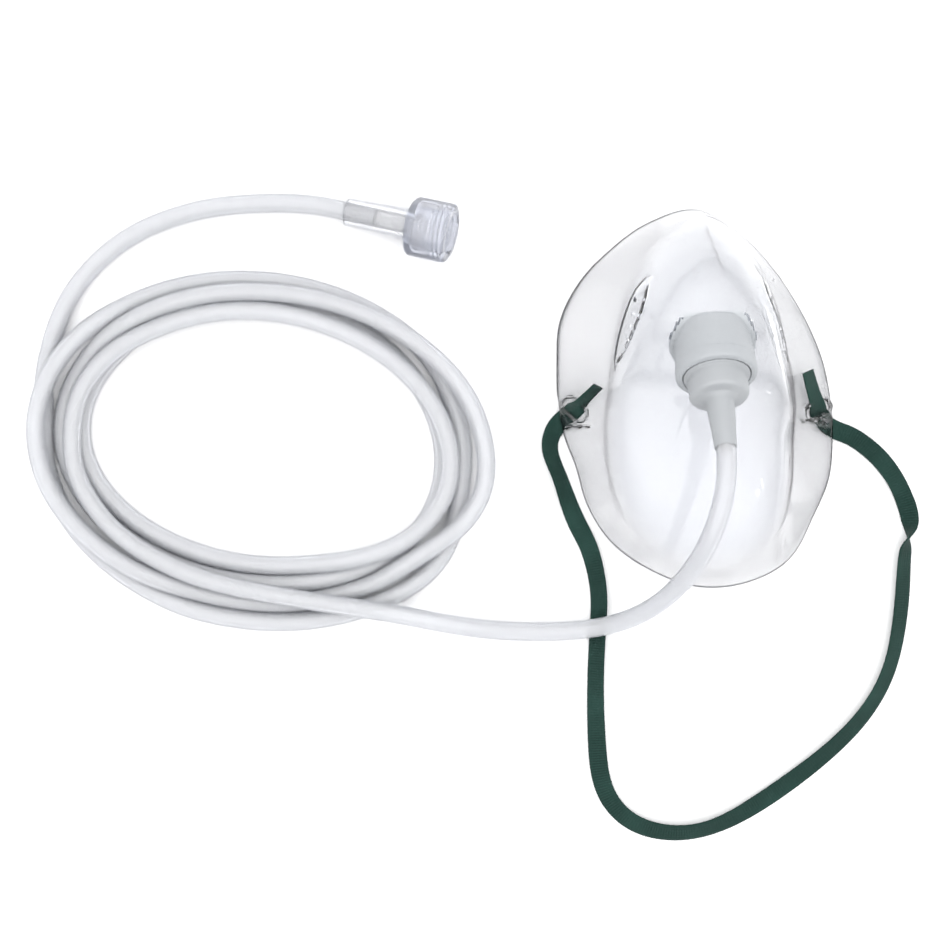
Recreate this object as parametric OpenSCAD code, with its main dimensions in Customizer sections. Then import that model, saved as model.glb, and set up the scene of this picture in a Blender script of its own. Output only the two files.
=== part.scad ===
// Simple oxygen face mask: clear soft shell, swivel tube adapter, supply tube with its
// screw-on end connector, and an elastic head strap.
// Frame: +Z up, +Y towards the nose, origin on the table below the middle of the shell.

/* [Mask shell] */
// Wall thickness of the soft shell
shell_wall = 1.6; // [1.2:0.1:2.2]
// Height of the dome over the nose
nose_height = 46.5; // [42:0.5:50]
// Height of the lower dome over the chin
chin_height = 24.5; // [22:0.5:27]
// Rise of the sealing flange from its edge to the crease at the cheeks
flange_rise = 12; // [8:0.5:14]
// How far the flange edge lifts off the table at the nose
nose_lift = 8; // [4:0.5:10]
// How far the flange edge lifts off the table at the chin
chin_lift = 5; // [3:0.5:7]
// Radius of each small breathing hole
vent_hole_r = 0.9; // [0.6:0.1:1.2]
// Number of breathing holes in each cheek
vent_holes = 5; // [3:1:6]
// Length of each strap slot
slot_length = 8.5; // [7.5:0.5:9]
// Width of each strap slot
slot_width = 4; // [3:0.5:5]

/* [Mask port] */
// Inside radius of the port collar
port_bore_r = 11; // [10.5:0.1:11.2]
// Outside radius of the port collar
port_outer_r = 13; // [12.6:0.1:13.4]
// Length of the port collar
port_length = 17; // [16:0.5:19]
// Angle of the port above the table
port_rise = 28; // [24:1:32]
// Angle of the port away from the middle plane
port_yaw = 3; // [0:1:5]

/* [Swivel tube adapter] */
// Radial running clearance between the adapter and the port
swivel_gap = 0.05; // [0.03:0.01:0.08]
// Radius of the adapter body outside the port
adapter_body_r = 9.8; // [9:0.1:10.5]
// Length of the adapter body outside the port
adapter_body_length = 8; // [6:0.5:9]
// Length of the tapered stem
stem_length = 18.6; // [16:0.2:21]
// Radius of the stem where it leaves the adapter body
stem_root_r = 4.7; // [4.2:0.1:5.2]
// Radius of the stem at its end
stem_end_r = 3.65; // [3.6:0.05:3.9]

/* [Supply tube] */
// Outside radius of the tube
tube_r = 3.25; // [3:0.05:3.5]
// Angle of the end connector above the table
connector_rise = 11.2; // [10.5:0.1:12]

/* [End connector] */
// Radius of the cuff at the tube
cuff_small_r = 4.7; // [4.5:0.1:4.9]
// Radius of the cuff at the nut
cuff_large_r = 5.5; // [5.2:0.1:5.8]
// Length of the cuff
cuff_length = 23; // [20:0.5:25]
// Length of the tube that is held inside the cuff
cuff_grip = 11; // [8:0.5:12]
// Half of the nut's width across its flats
nut_flat_r = 9.5; // [9.2:0.1:9.8]
// Radius that the nut's corners are rounded off to
nut_corner_r = 10.4; // [10:0.1:10.8]
// Length of the nut
nut_length = 15; // [14:0.5:16]
// Radius of the nut's thread
nut_thread_r = 7.15; // [7:0.05:7.3]

/* [Head strap] */
// Width of the elastic strap
strap_width = 6.5; // [5.5:0.5:7]
// Thickness of the elastic strap
strap_thick = 1; // [0.8:0.1:1.2]

/* [Hidden] */
$fn = 72;

// ---- shell shape ----
// Radii of the flange edge from the origin, every 15 degrees counter-clockwise from +X
rim_radii = [47, 46.5, 47, 49, 53, 59, 65.5, 63.5, 60, 57.5, 54.5, 50,
             48, 47.5, 48, 53, 58, 61.5, 65, 66, 64.5, 58, 54, 49.5];
// Radii of the crease between the flange and the dome, at the same angles
crease_radii = [32.5, 32.5, 34, 38.5, 46, 56.5, 63, 55.5, 46, 38, 33.5, 31.5,
                31.5, 33.5, 37, 42.5, 49.5, 55.5, 59, 59, 54, 44.5, 37, 33.5];
// Top of the dome, where its rings close
crown = [1, 18];
// Where the dome steps down from the nose to the chin
step_start = 0;
step_end = 27;
// Middle of each strap slot, and the angle that the strap runs through it at
left_slot = [-42.6, -3.6];
left_slot_angle = -45;
right_slot = [42, -3.4];
right_slot_angle = 25;
// Depth of the cut that makes a slot, from the table up
slot_cut = 12;
// Extra lift of the flange edge where the strap passes below it, and its place along Y
slot_lift = 1.8;
slot_y = -5;
// Height of the flange's top face where its lower edge rests on the table
edge_z = 0.83 * shell_wall;
// Stations around the shell and rings up it
stations = 48;
flange_steps = [0, 0.5];
dome_steps = [0, 0.05, 0.11, 0.18, 0.27, 0.38, 0.52, 0.7, 0.86];

// A value from a closed list of radii, smoothly interpolated at an angle
function wrap(list, i) = list[(i + 2 * len(list)) % len(list)];
function cubic(a, b, c, d, t) =
    b + 0.5 * t * (c - a + t * (2 * a - 5 * b + 4 * c - d + t * (3 * (b - c) + d - a)));
function radius_at(list, angle) =
    let (s = (angle / 15 + len(list)) % len(list), i = floor(s))
    cubic(wrap(list, i - 1), wrap(list, i), wrap(list, i + 1), wrap(list, i + 2), s - i);
function smooth(t) = let (c = min(1, max(0, t))) c * c * (3 - 2 * c);
function up(angle) = max(0, sin(angle));
function down(angle) = max(0, -sin(angle));
function bell(x) = exp(-x * x);

// Height of the flange edge, of the crease and of the dome's ridge
function rim_z(angle, y) = edge_z + nose_lift * pow(up(angle), 6) + chin_lift * pow(down(angle), 6)
    + slot_lift * bell((y - slot_y) / 10) * pow(cos(angle), 2);
function crease_z(angle, y) = rim_z(angle, y) + flange_rise * (1 - 0.58 * pow(sin(angle), 4));
function ridge_z(y) = chin_height
    + (nose_height - chin_height) * smooth((y - step_start) / (step_end - step_start))
    - 0.003 * pow(max(0, y - step_end), 2) - 0.0012 * pow(min(0, y), 2);
// How steeply the dome's wall stands at an angle
function steepness(angle) = 7 - 3.8 * pow(up(angle), 4) - 2.5 * pow(down(angle), 4);

// Point of the flange, s from 0 at the edge to 1 at the crease
function flange_point(angle, s) =
    let (r0 = radius_at(rim_radii, angle), r1 = radius_at(crease_radii, angle),
         r = r0 + (r1 - r0) * s, x = r * cos(angle), y = r * sin(angle),
         z0 = rim_z(angle, r0 * sin(angle)), z1 = crease_z(angle, r0 * sin(angle)))
    [x, y, z0 + (z1 - z0) * s];
// Point of the dome, t from 0 at the crease to 1 at the crown
function dome_point(angle, t) =
    let (base = flange_point(angle, 1),
         x = base.x + (crown.x - base.x) * t, y = base.y + (crown.y - base.y) * t,
         wall = 1 - pow(1 - t, steepness(angle)))
    [x, y, base.z + (ridge_z(y) - base.z) * wall];
// Any point of the outer surface, v from -1 at the edge, 0 at the crease, to 1 at the crown
function shell_point(angle, v) = v < 0 ? flange_point(angle, v + 1) : dome_point(angle, v);
// Outward unit normal there
function shell_normal(angle, v) =
    let (step = 0.01,
         around = shell_point(angle + 1, v) - shell_point(angle - 1, v),
         rise = shell_point(angle, min(0.98, v + step)) - shell_point(angle, max(-1, v - step)),
         n = cross(around, rise))
    n / norm(n);

ring_levels = concat([for (s = flange_steps) s - 1], dome_steps);
rings = len(ring_levels);
function outer_ring(v) = [for (i = [0 : stations - 1]) shell_point(i * 360 / stations, v)];
function inner_ring(v) = [for (i = [0 : stations - 1]) let (a = i * 360 / stations)
    shell_point(a, v) - shell_wall * shell_normal(a, v)];
function flat_list(lists) = [for (l = lists) for (p = l) p];
crown_top = dome_point(0, 1);

// Faces between ring a and ring b of a closed loft
function band(a, b, n) = [for (i = [0 : n - 1]) let (j = (i + 1) % n)
    for (f = [[a * n + i, b * n + i, a * n + j], [a * n + j, b * n + i, b * n + j]]) f];
function cap(a, top, n) = [for (i = [0 : n - 1]) [a * n + i, top, a * n + (i + 1) % n]];
function flipped(faces) = [for (f = faces) [f[2], f[1], f[0]]];

// ---- port and connector frames ----
// Middle of the port collar's inner end
port_base = [1.1, 20.9, 37];
// Lengths of the adapter inside the port, and of its hollow
plug_length = 15;
plug_wall = 1.6;
// Radius and length of the bead at the port's mouth
bead_r = port_outer_r + 0.9;
bead_length = 3;
// Radius of the gas passage through the adapter's stem, and its socket for the tube
gas_r = 2.2;
socket_r = 3.3;
socket_depth = 10;
// Where the adapter's body and stem end, along the port
body_end = port_length + adapter_body_length;
stem_end = body_end + stem_length;
// Gap and slope between the adapter's body and the port's mouth
shoulder_gap = 0.3;
shoulder_slope = 0.5;
// Middle of the cuff's mouth, where the tube goes in
cuff_mouth = [-121.9, 65.5, 4.9];
connector_heading = -13.5;
// The nut's place along the connector, behind a small gap
nut_gap = 0.4;
nut_start = cuff_length + nut_gap;
// Thickness of the nut's back wall, and the relief between it and the thread
nut_back = 2.5;
nut_relief_r = nut_thread_r + 0.5;
nut_relief_end = 8.5;
// Radius of the neck that the nut turns on, and its running clearance
neck_r = 3.6;
neck_gap = 0.08;
// Radius of the nipple's shank, which the cuff grips
shank_r = 3.3;

// Direction that the port opens in
port_axis = [cos(port_rise) * sin(port_yaw), -cos(port_rise) * cos(port_yaw), sin(port_rise)];

module at_port() {
    translate(port_base) rotate([0, 0, port_yaw]) rotate([90 - port_rise, 0, 0]) children();
}

module at_connector() {
    translate(cuff_mouth) rotate([0, 0, connector_heading]) rotate([0, 90 - connector_rise, 0])
        children();
}

// ---- tube and strap routes ----
// From the stem's end over the chin to the coil
mask_lead_route = [
    [3.3, -20.7, 59.2], [3.3, -24.4, 60.7], [2.9, -29, 61.8], [2, -34, 62], [0.6, -39.5, 61.2],
    [-1.4, -45.3, 58.8], [-4.1, -51.7, 53.8], [-7.5, -58.6, 45.4], [-12.2, -65.5, 34.6],
    [-18, -71.5, 23.7], [-25.4, -76.1, 14.6], [-33.9, -79, 8.4], [-43, -80.5, 4.8],
    [-53.4, -81, 3.6], [-66.4, -80.7, 3.7], [-78.9, -79.3, 5.8], [-91.4, -77, 8.9],
    [-106.6, -74, 9.8], [-120, -72, 9.8]];
// From the coil's left side, round the top, into the cuff
end_lead_route = [
    [-228.5, -8, 3.3], [-227.8, 5, 3.3], [-223.5, 25, 3.3], [-217.6, 37.5, 3.3], [-208.8, 48.2, 3.3],
    [-196, 57.8, 3.3], [-179.5, 64.6, 3.3], [-163, 67.8, 3.3], [-146.5, 68.6, 3.3],
    [-136, 68.2, 3.4], [-129, 67.2, 3.7], [-121.9, 65.5, 4.9]];
// From the left stub, under the flange, round the table and back to the right stub
strap_route = [
    [-34.6, 4.2, 12.8], [-38.5, 0.4, 10.9], [-41, -2.1, 8.8], [-42.6, -3.6, 6.5],
    [-44.3, -5.2, 3.2], [-46.5, -7, 1.4], [-49.4, -10.5, 0.7], [-51, -16, 0.6],
    [-50, -21, 0.6], [-47.4, -27.5, 0.6], [-44.4, -36, 0.6], [-41, -44, 0.6],
    [-37.6, -51, 0.6], [-35.2, -59, 0.6], [-33.8, -69.5, 0.6], [-34.4, -84, 0.6],
    [-35, -103, 0.6], [-34.4, -121, 0.6], [-31.5, -137, 0.6], [-22.5, -147.5, 0.6],
    [-8.5, -151.5, 0.6], [7, -149, 0.6], [27, -138, 0.6], [48.5, -121.3, 0.6],
    [60.5, -108, 0.6], [67, -96, 0.6], [70.5, -83, 0.6], [72.5, -66, 0.6],
    [73.5, -52, 0.6], [75, -43, 0.6], [72.5, -32.5, 0.6], [66, -22, 0.6],
    [58.5, -15.2, 0.6], [53.5, -12.2, 0.6], [49.3, -10.6, 0.8], [45.4, -8.3, 1.6],
    [43.2, -5.7, 3.4], [42, -3.4, 6.4], [40.9, -0.6, 8.8], [39.4, 4, 9.7], [37.8, 9.5, 10.4]];

// Direction of a route at one of its points
function heading(route, i) =
    let (d = route[min(len(route) - 1, i + 1)] - route[max(0, i - 1)]) d / norm(d);
function sideways(t) = let (s = cross(t, [0, 0, 1])) s / norm(s);
// A closed section at a route point, from offsets [side, up]
function section(route, i, shape) =
    let (t = heading(route, i), s = sideways(t), u = cross(s, t))
    [for (o = shape) route[i] + o.x * s + o.y * u];

module sweep(route, shape) {
    n = len(shape);
    last = len(route) - 1;
    polyhedron(
        points = flat_list([for (i = [0 : last]) section(route, i, shape)]),
        faces = concat(
            flat_list([for (k = [0 : last - 1]) flipped(band(k, k + 1, n))]),
            [[for (i = [n - 1 : -1 : 0]) i]],
            [[for (i = [0 : n - 1]) last * n + i]]),
        convexity = 8);
}

tube_section = [for (a = [0 : 36 : 359]) tube_r * [cos(a), sin(a)]];
strap_section = [[-1, -1], [1, -1], [1, 1], [-1, 1]];

// Outline of the tube's coil: an ellipse turned a little clockwise
coil_middle = [-152.4, -17.8];
coil_outer = [83.5, 64];
coil_inner = [58, 37];
coil_turn = -9;
coil_height = 13.2;
function oval(size) = [for (a = [0 : 7.5 : 359]) [size.x * cos(a), size.y * sin(a)]];

// ---- sub-parts ----
module shell_skin() {
    outer = flat_list([for (v = ring_levels) outer_ring(v)]);
    inner = flat_list([for (v = ring_levels) inner_ring(v)]);
    count = rings * stations;
    tops = [crown_top, crown_top - [0, 0, shell_wall]];
    outer_faces = concat(
        flat_list([for (k = [0 : rings - 2]) band(k, k + 1, stations)]),
        cap(rings - 1, 2 * count, stations));
    inner_faces = concat(
        flat_list([for (k = [rings : 2 * rings - 2]) band(k, k + 1, stations)]),
        cap(2 * rings - 1, 2 * count + 1, stations));
    polyhedron(
        points = concat(outer, inner, tops),
        faces = concat(outer_faces, flipped(inner_faces), flipped(band(0, rings, stations))),
        convexity = 8);
}

module vent_hole(angle, v) {
    p = shell_point(angle, v);
    n = shell_normal(angle, v);
    translate(p) rotate([0, acos(n.z), atan2(n.y, n.x)])
        cylinder(r = vent_hole_r, h = 3 * shell_wall, center = true, $fn = 24);
}

module strap_slot(middle, angle) {
    translate([middle.x, middle.y, slot_cut / 2]) rotate([0, 0, angle])
        cube([slot_length, slot_width, slot_cut], center = true);
}

module mask_shell() {
    vent_middle = [42, 138];
    vent_pitch = 6;
    vent_level = 0.07;
    throat_r = 9;
    throat_length = 1.9;
    overrun = 2;
    color("aliceblue", 0.45) difference() {
        union() {
            shell_skin();
            at_port() {
                cylinder(r = port_outer_r, h = port_length);
                translate([0, 0, port_length - bead_length])
                    cylinder(r1 = port_outer_r, r2 = bead_r, h = bead_length);
            }
        }
        at_port() rotate_extrude() polygon([
            [0, -overrun], [throat_r, -overrun], [throat_r, 0], [port_bore_r, throat_length],
            [port_bore_r, port_length + overrun], [0, port_length + overrun]]);
        strap_slot(left_slot, left_slot_angle);
        strap_slot(right_slot, right_slot_angle);
        for (middle = vent_middle)
            for (i = [0 : vent_holes - 1])
                vent_hole(middle + vent_pitch * (i - (vent_holes - 1) / 2), vent_level);
    }
}

module port_adapter() {
    plug_r = port_bore_r - swivel_gap;
    start = port_length - plug_length;
    body_chamfer = 1;
    plug_end = body_end - plug_wall;
    color("silver") at_port() rotate_extrude() polygon([
        [plug_r - plug_wall, start], [plug_r, start], [plug_r, port_length + shoulder_gap],
        [adapter_body_r, port_length + shoulder_gap + shoulder_slope],
        [adapter_body_r, body_end - body_chamfer], [adapter_body_r - body_chamfer, body_end],
        [stem_root_r, body_end], [stem_end_r, stem_end],
        [socket_r, stem_end], [socket_r, stem_end - socket_depth],
        [gas_r, stem_end - socket_depth], [gas_r, plug_end], [plug_r - plug_wall, plug_end]]);
}

module tube_mask_lead() {
    depths = [stem_end - socket_depth + 0.5, stem_end];
    inside = [for (d = depths) port_base + d * port_axis];
    color("whitesmoke") sweep(concat(inside, mask_lead_route), tube_section);
}

module tube_coil() {
    color("whitesmoke") translate([coil_middle.x, coil_middle.y, 0]) rotate([0, 0, coil_turn])
        linear_extrude(coil_height) difference() {
            polygon(oval(coil_outer));
            polygon(oval(coil_inner));
        }
}

module tube_end_lead() {
    color("whitesmoke") {
        sweep(end_lead_route, tube_section);
        at_connector() cylinder(r = tube_r, h = cuff_grip);
    }
}

module end_cuff() {
    color("gainsboro") at_connector() difference() {
        cylinder(r1 = cuff_small_r, r2 = cuff_large_r, h = cuff_length);
        translate([0, 0, -1]) cylinder(r = tube_r, h = cuff_length + 2);
        translate([0, 0, cuff_grip]) cylinder(r = shank_r, h = cuff_length);
    }
}

module gland_nipple() {
    bore_r = 1.6;
    tip_r = 2.9;
    taper = 2;
    head_r = 6.6;
    head_thick = 1.6;
    nose_root_r = 4;
    nose_length = 3.8;
    shank_start = cuff_grip + 0.5;
    head_start = nut_start + nut_back + 0.3;
    head_end = head_start + head_thick;
    color("lightgray") at_connector() rotate_extrude() polygon([
        [bore_r, shank_start], [tip_r, shank_start], [shank_r, shank_start + taper],
        [shank_r, cuff_length], [neck_r, cuff_length], [neck_r, head_start],
        [head_r, head_start], [head_r, head_end], [nose_root_r, head_end],
        [tip_r, head_end + nose_length], [bore_r, head_end + nose_length]]);
}

module swivel_nut() {
    edge = 1.6;
    color("lightsteelblue", 0.7) at_connector() translate([0, 0, nut_start]) difference() {
        intersection() {
            rotate([0, 0, 30]) cylinder(r = nut_flat_r / cos(30), h = nut_length, $fn = 6);
            rotate_extrude() polygon([
                [0, 0], [nut_corner_r - edge, 0], [nut_corner_r, edge],
                [nut_corner_r, nut_length - edge / 2], [nut_corner_r - edge / 2, nut_length],
                [0, nut_length]]);
        }
        translate([0, 0, -1]) cylinder(r = neck_r + neck_gap, h = nut_length);
        translate([0, 0, nut_back]) cylinder(r = nut_relief_r, h = nut_relief_end - nut_back);
        translate([0, 0, nut_relief_end - 0.01])
            cylinder(r = nut_thread_r, h = nut_length);
    }
}

module head_strap() {
    half = [strap_width / 2, strap_thick / 2];
    color("darkslategray")
        sweep(strap_route, [for (o = strap_section) [o.x * half.x, o.y * half.y]]);
}

mask_shell();
port_adapter();
tube_mask_lead();
tube_coil();
tube_end_lead();
end_cuff();
gland_nipple();
swivel_nut();
head_strap();
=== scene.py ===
import math

import bmesh
import bpy
import numpy as np
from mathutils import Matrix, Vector


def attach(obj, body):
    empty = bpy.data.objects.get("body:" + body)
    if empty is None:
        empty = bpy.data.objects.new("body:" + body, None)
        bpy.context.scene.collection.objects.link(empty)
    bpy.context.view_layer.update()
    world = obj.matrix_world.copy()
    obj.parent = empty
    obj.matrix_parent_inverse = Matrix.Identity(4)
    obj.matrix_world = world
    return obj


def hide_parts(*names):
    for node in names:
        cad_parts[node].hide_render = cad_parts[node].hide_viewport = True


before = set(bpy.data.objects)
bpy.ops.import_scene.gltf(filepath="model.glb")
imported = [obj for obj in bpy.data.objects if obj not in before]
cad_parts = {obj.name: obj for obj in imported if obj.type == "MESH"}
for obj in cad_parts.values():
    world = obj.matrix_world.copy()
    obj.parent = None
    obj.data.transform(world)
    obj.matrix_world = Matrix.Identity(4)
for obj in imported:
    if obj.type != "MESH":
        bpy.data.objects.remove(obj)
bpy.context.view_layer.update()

MM = 0.001

# ---------------------------------------------------------------- camera
CAMERA_PLACE = (-0.0784, -0.0251, 0.660)
SENSOR_WIDTH = 36
FOCAL_PIXELS = 1880
IMAGE_PIXELS = 943
camera_data = bpy.data.cameras.new("camera")
camera_data.sensor_width = SENSOR_WIDTH
camera_data.lens = SENSOR_WIDTH * FOCAL_PIXELS / IMAGE_PIXELS
camera = bpy.data.objects.new("camera", camera_data)
camera.location = CAMERA_PLACE
bpy.context.collection.objects.link(camera)
scene = bpy.context.scene
scene.camera = camera
scene.view_settings.view_transform = "Standard"
scene.cycles.max_bounces = 24
scene.cycles.transmission_bounces = 24
scene.cycles.use_denoising = True
scene.cycles.denoising_input_passes = "RGB"
# With the default seed the denoiser left a patch like fish scales on the coil
scene.cycles.seed = 5


# ---------------------------------------------------------------- meshes
def new_object(name, points, faces, uv=None):
    """A mesh object from points in mm, its normals turned outwards and its shading smooth."""
    mesh = bpy.data.meshes.new(name)
    mesh.from_pydata((np.asarray(points) * MM).tolist(), [], [list(f) for f in faces])
    if uv is not None:
        layer = mesh.uv_layers.new(name="along")
        corners = read(mesh.loops, "vertex_index", np.int32)
        layer.data.foreach_set("uv", np.asarray(uv, dtype=np.float32)[corners].ravel())
    work = bmesh.new()
    work.from_mesh(mesh)
    bmesh.ops.recalc_face_normals(work, faces=work.faces)
    work.to_mesh(mesh)
    work.free()
    obj = bpy.data.objects.new(name, mesh)
    bpy.context.collection.objects.link(obj)
    shade(obj)
    return obj


def read(items, name, kind, width=1):
    """One property of every vertex, face or corner as an array, width numbers to each."""
    values = np.empty(len(items) * width, dtype=kind)
    items.foreach_get(name, values)
    return values.reshape(-1, width) if width > 1 else values


def shade(obj, angle=38):
    """Smooth shading, with edges sharper than angle left crisp."""
    obj.data.polygons.foreach_set("use_smooth", [True] * len(obj.data.polygons))
    obj.data.set_sharp_from_angle(angle=math.radians(angle))


def loft(count, sides, closed, first=0):
    """Quads between count rings of sides points each; with closed, the last ring joins the first."""
    index = first + np.arange(count * sides).reshape(count, sides)
    low = index if closed else index[:-1]
    high = np.roll(index, -1, 0) if closed else index[1:]
    quads = [low, np.roll(low, -1, 1), np.roll(high, -1, 1), high]
    return np.stack(quads, -1).reshape(-1, 4).tolist()


def combine(obj, cutter, operation):
    """obj joined with, or cut by, a closed mesh that is then thrown away."""
    step = obj.modifiers.new("combine", "BOOLEAN")
    step.operation = operation
    step.solver = "MANIFOLD"
    step.object = cutter
    graph = bpy.context.evaluated_depsgraph_get()
    mesh = bpy.data.meshes.new_from_object(obj.evaluated_get(graph))
    obj.modifiers.clear()
    old = obj.data
    obj.data = mesh
    bpy.data.meshes.remove(old)
    bpy.data.objects.remove(cutter)


def axes_of(direction):
    """Two unit vectors square to a direction and to each other."""
    side = np.cross([0.0, 0.0, 1.0], direction)
    side /= np.linalg.norm(side)
    return side, np.cross(direction, side)


def ring(direction, steps):
    """Angles evenly round an axis, and the unit vectors square to it at them."""
    side, up = axes_of(direction)
    turn = np.linspace(0, 2 * math.pi, steps, endpoint=False)
    return turn, np.cos(turn)[:, None] * side + np.sin(turn)[:, None] * up


def fan(first, sides, tip):
    """Triangles from a ring of sides points, the first given, to a tip."""
    a = first + np.arange(sides)
    return np.stack([a, np.roll(a, -1), np.full(sides, tip)], -1).tolist()


def rounded(corners, steps=5):
    """A closed profile of (radius, distance, fillet) corners with its corners rounded off."""
    out = []
    points = np.array([c[:2] for c in corners], float)
    for i, corner in enumerate(corners):
        here, fillet = points[i], corner[2]
        back, on = points[i - 1] - here, points[(i + 1) % len(points)] - here
        if fillet <= 0:
            out.append(here)
            continue
        back_length, on_length = np.linalg.norm(back), np.linalg.norm(on)
        reach = min(fillet, 0.48 * back_length, 0.48 * on_length)
        a, b = here + back / back_length * reach, here + on / on_length * reach
        for k in range(steps + 1):
            t = k / steps
            out.append((1 - t) ** 2 * a + 2 * t * (1 - t) * here + t * t * b)
    return np.array(out)


def revolve(name, profile, base, direction, steps=96):
    """A closed profile of (radius, distance) turned about an axis."""
    around = ring(direction, steps)[1]
    rings = base + profile[:, 0, None, None] * around + profile[:, 1, None, None] * direction
    return new_object(name, rings.reshape(-1, 3), loft(len(profile), steps, True))


def disc_stack(name, profile, base, direction, steps=96):
    """A solid of revolution whose open profile starts and ends on the axis."""
    around = ring(direction, steps)[1]
    inner = np.array(profile[1:-1], float)
    rings = base + inner[:, 0, None, None] * around + inner[:, 1, None, None] * direction
    tips = [base + profile[0][1] * direction, base + profile[-1][1] * direction]
    count = len(inner)
    faces = loft(count, steps, False)
    faces += fan(0, steps, count * steps) + fan((count - 1) * steps, steps, count * steps + 1)
    return new_object(name, np.r_[rings.reshape(-1, 3), tips], faces)


# ---------------------------------------------------------------- curves
SPLINE_SAMPLES = 9000


def distances(path):
    """How far along a path each of its points lies."""
    return np.r_[0, np.cumsum(np.linalg.norm(np.diff(path, axis=0), axis=1))]


def spline(points, step):
    """Points at an even step along one smooth curve through the points given."""
    points = np.asarray(points, float)
    at = np.r_[0, np.cumsum(np.sqrt(np.linalg.norm(np.diff(points, axis=0), axis=1)))]
    count, gap = len(points), np.diff(at)
    left, right = np.zeros((count, count)), np.zeros((count, 3))
    left[0, 0] = left[-1, -1] = 1
    for i in range(1, count - 1):
        left[i, i - 1 : i + 2] = gap[i - 1], 2 * (gap[i - 1] + gap[i]), gap[i]
        rise, fall = points[i + 1] - points[i], points[i] - points[i - 1]
        right[i] = 6 * (rise / gap[i] - fall / gap[i - 1])
    bend = np.linalg.solve(left, right)
    t = np.linspace(0, at[-1], SPLINE_SAMPLES)
    k = np.clip(np.searchsorted(at, t) - 1, 0, count - 2)
    u, h = (t - at[k])[:, None], gap[k][:, None]
    slope = (points[k + 1] - points[k]) / h - h * (2 * bend[k] + bend[k + 1]) / 6
    fine = points[k] + u * slope + u * u * bend[k] / 2 + u**3 * (bend[k + 1] - bend[k]) / (6 * h)
    run = distances(fine)
    even = np.linspace(0, run[-1], int(round(run[-1] / step)) + 1)
    return np.stack([np.interp(even, run, fine[:, i]) for i in range(3)], -1)


def through(keys, at):
    """A smooth value through (place, value) keys that never overshoots them."""
    place, value = np.array(keys, float).T
    width = np.diff(place)
    rate = np.diff(value) / width
    slope = np.zeros(len(place))
    same = rate[:-1] * rate[1:] > 0
    slope[1:-1][same] = 2 * rate[:-1][same] * rate[1:][same] / (rate[:-1] + rate[1:])[same]
    k = np.clip(np.searchsorted(place, at) - 1, 0, len(width) - 1)
    t = (at - place[k]) / width[k]
    ends = value[k] * (2 * t**3 - 3 * t**2 + 1) + value[k + 1] * (3 * t**2 - 2 * t**3)
    tilts = slope[k] * (t**3 - 2 * t**2 + t) + slope[k + 1] * (t**3 - t**2)
    return ends + width[k] * tilts


def tilted(rise, heading):
    """The unit vector that points to a heading, raised above the table."""
    flat = math.cos(rise)
    return np.array([flat * math.cos(heading), flat * math.sin(heading), math.sin(rise)])


# ---------------------------------------------------------------- frames of the port and the connector
PORT_BASE = np.array([1.1, 20.9, 37.0])
PORT_AXIS = tilted(math.radians(28), math.radians(-87))
STEM_END = 43.6
SOCKET_DEPTH = 10
CUFF_MOUTH = np.array([-121.9, 65.5, 4.9])
CONNECTOR_AXIS = tilted(math.radians(11.2), math.radians(-13.5))
CUFF_GRIP = 11

# ---------------------------------------------------------------- supply tube
TUBE_R, BORE_R = 3.25, 2.15
MASK_LEAD = [
    [3.3, -20.7, 59.2], [3.3, -24.4, 60.7], [2.9, -29, 61.8], [2, -34, 62], [0.6, -39.5, 61.2],
    [-1.4, -45.3, 58.8], [-4.1, -51.7, 53.8], [-7.5, -58.6, 45.4], [-12.2, -65.5, 34.6],
    [-18, -71.5, 23.7], [-25.4, -76.1, 14.6], [-33.9, -79, 8.4], [-43, -80.5, 4.8],
    [-53.4, -81, 3.6], [-66.4, -80.7, 3.7], [-78.9, -79.3, 5.8], [-91.4, -77, 8.9],
    [-106.6, -74, 9.8], [-120, -72, 9.8]]
# The lead's way over the coil's near side to its innermost turn
LEAD_OVER_COIL = [
    [-137, -69.4, 9.8], [-155, -66.2, 9.8], [-174.7, -61, 9.8], [-190.2, -53.8, 9.8],
    [-203, -44.4, 9.8], [-212.2, -32.2, 9.6], [-216.4, -20.4, 9.4]]
END_LEAD = [
    [-227.8, 5, 3.3], [-223.5, 25, 3.3], [-217.6, 37.5, 3.3], [-208.8, 48.2, 3.3],
    [-196, 57.8, 3.3], [-179.5, 64.6, 3.3], [-163, 67.8, 3.3], [-146.5, 68.6, 3.3],
    [-136, 68.2, 3.4], [-129, 67.2, 3.7]]
# The coil's turns, by degrees travelled clockwise from its near side: how far each lies inside the
# outermost oval, and how high its middle is as one turn climbs over another
COIL_MIDDLE = (-152.4, -17.8)
COIL_OVAL = (79.0, 59.4)
COIL_TURN = math.radians(-9)
COIL_INWARD = [
    (90, 13.9), (180, 11.4), (270, 12), (300, 14.6), (330, 19), (360, 19.6), (450, 16), (540, 7.4),
    (630, 14.5), (660, 13.8), (720, 13.1), (810, 9.6), (855, 7.4), (900, 4.4), (940, 1.4),
    (965, -0.3), (990, -0.4), (1008, 3.8), (1026, 8), (1080, 6.6), (1170, 1.6), (1260, 0.3),
    (1300, 1.6), (1325, 6), (1350, 7.9), (1368, 4.2), (1386, 0.5), (1440, 0.1), (1530, 3.1)]
COIL_HEIGHT = [
    (90, 9.2), (315, 9.8), (345, 3.3), (830, 3.3), (870, 9.8), (965, 9.8), (988, 8.8), (1010, 9.8),
    (1022, 9.8), (1045, 3.3), (1084, 3.3), (1115, 9.8), (1192, 9.8), (1220, 3.3), (1540, 3.3)]
# Where the last turn climbs, which bends more tightly than the rest
LAST_CLIMB = [-74.2, -30.5, 8.9]
# From middle to middle of turns that touch, and from the lowest turn to the table
TUBE_GAP, TABLE_GAP = 6.55, 0.03


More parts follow.
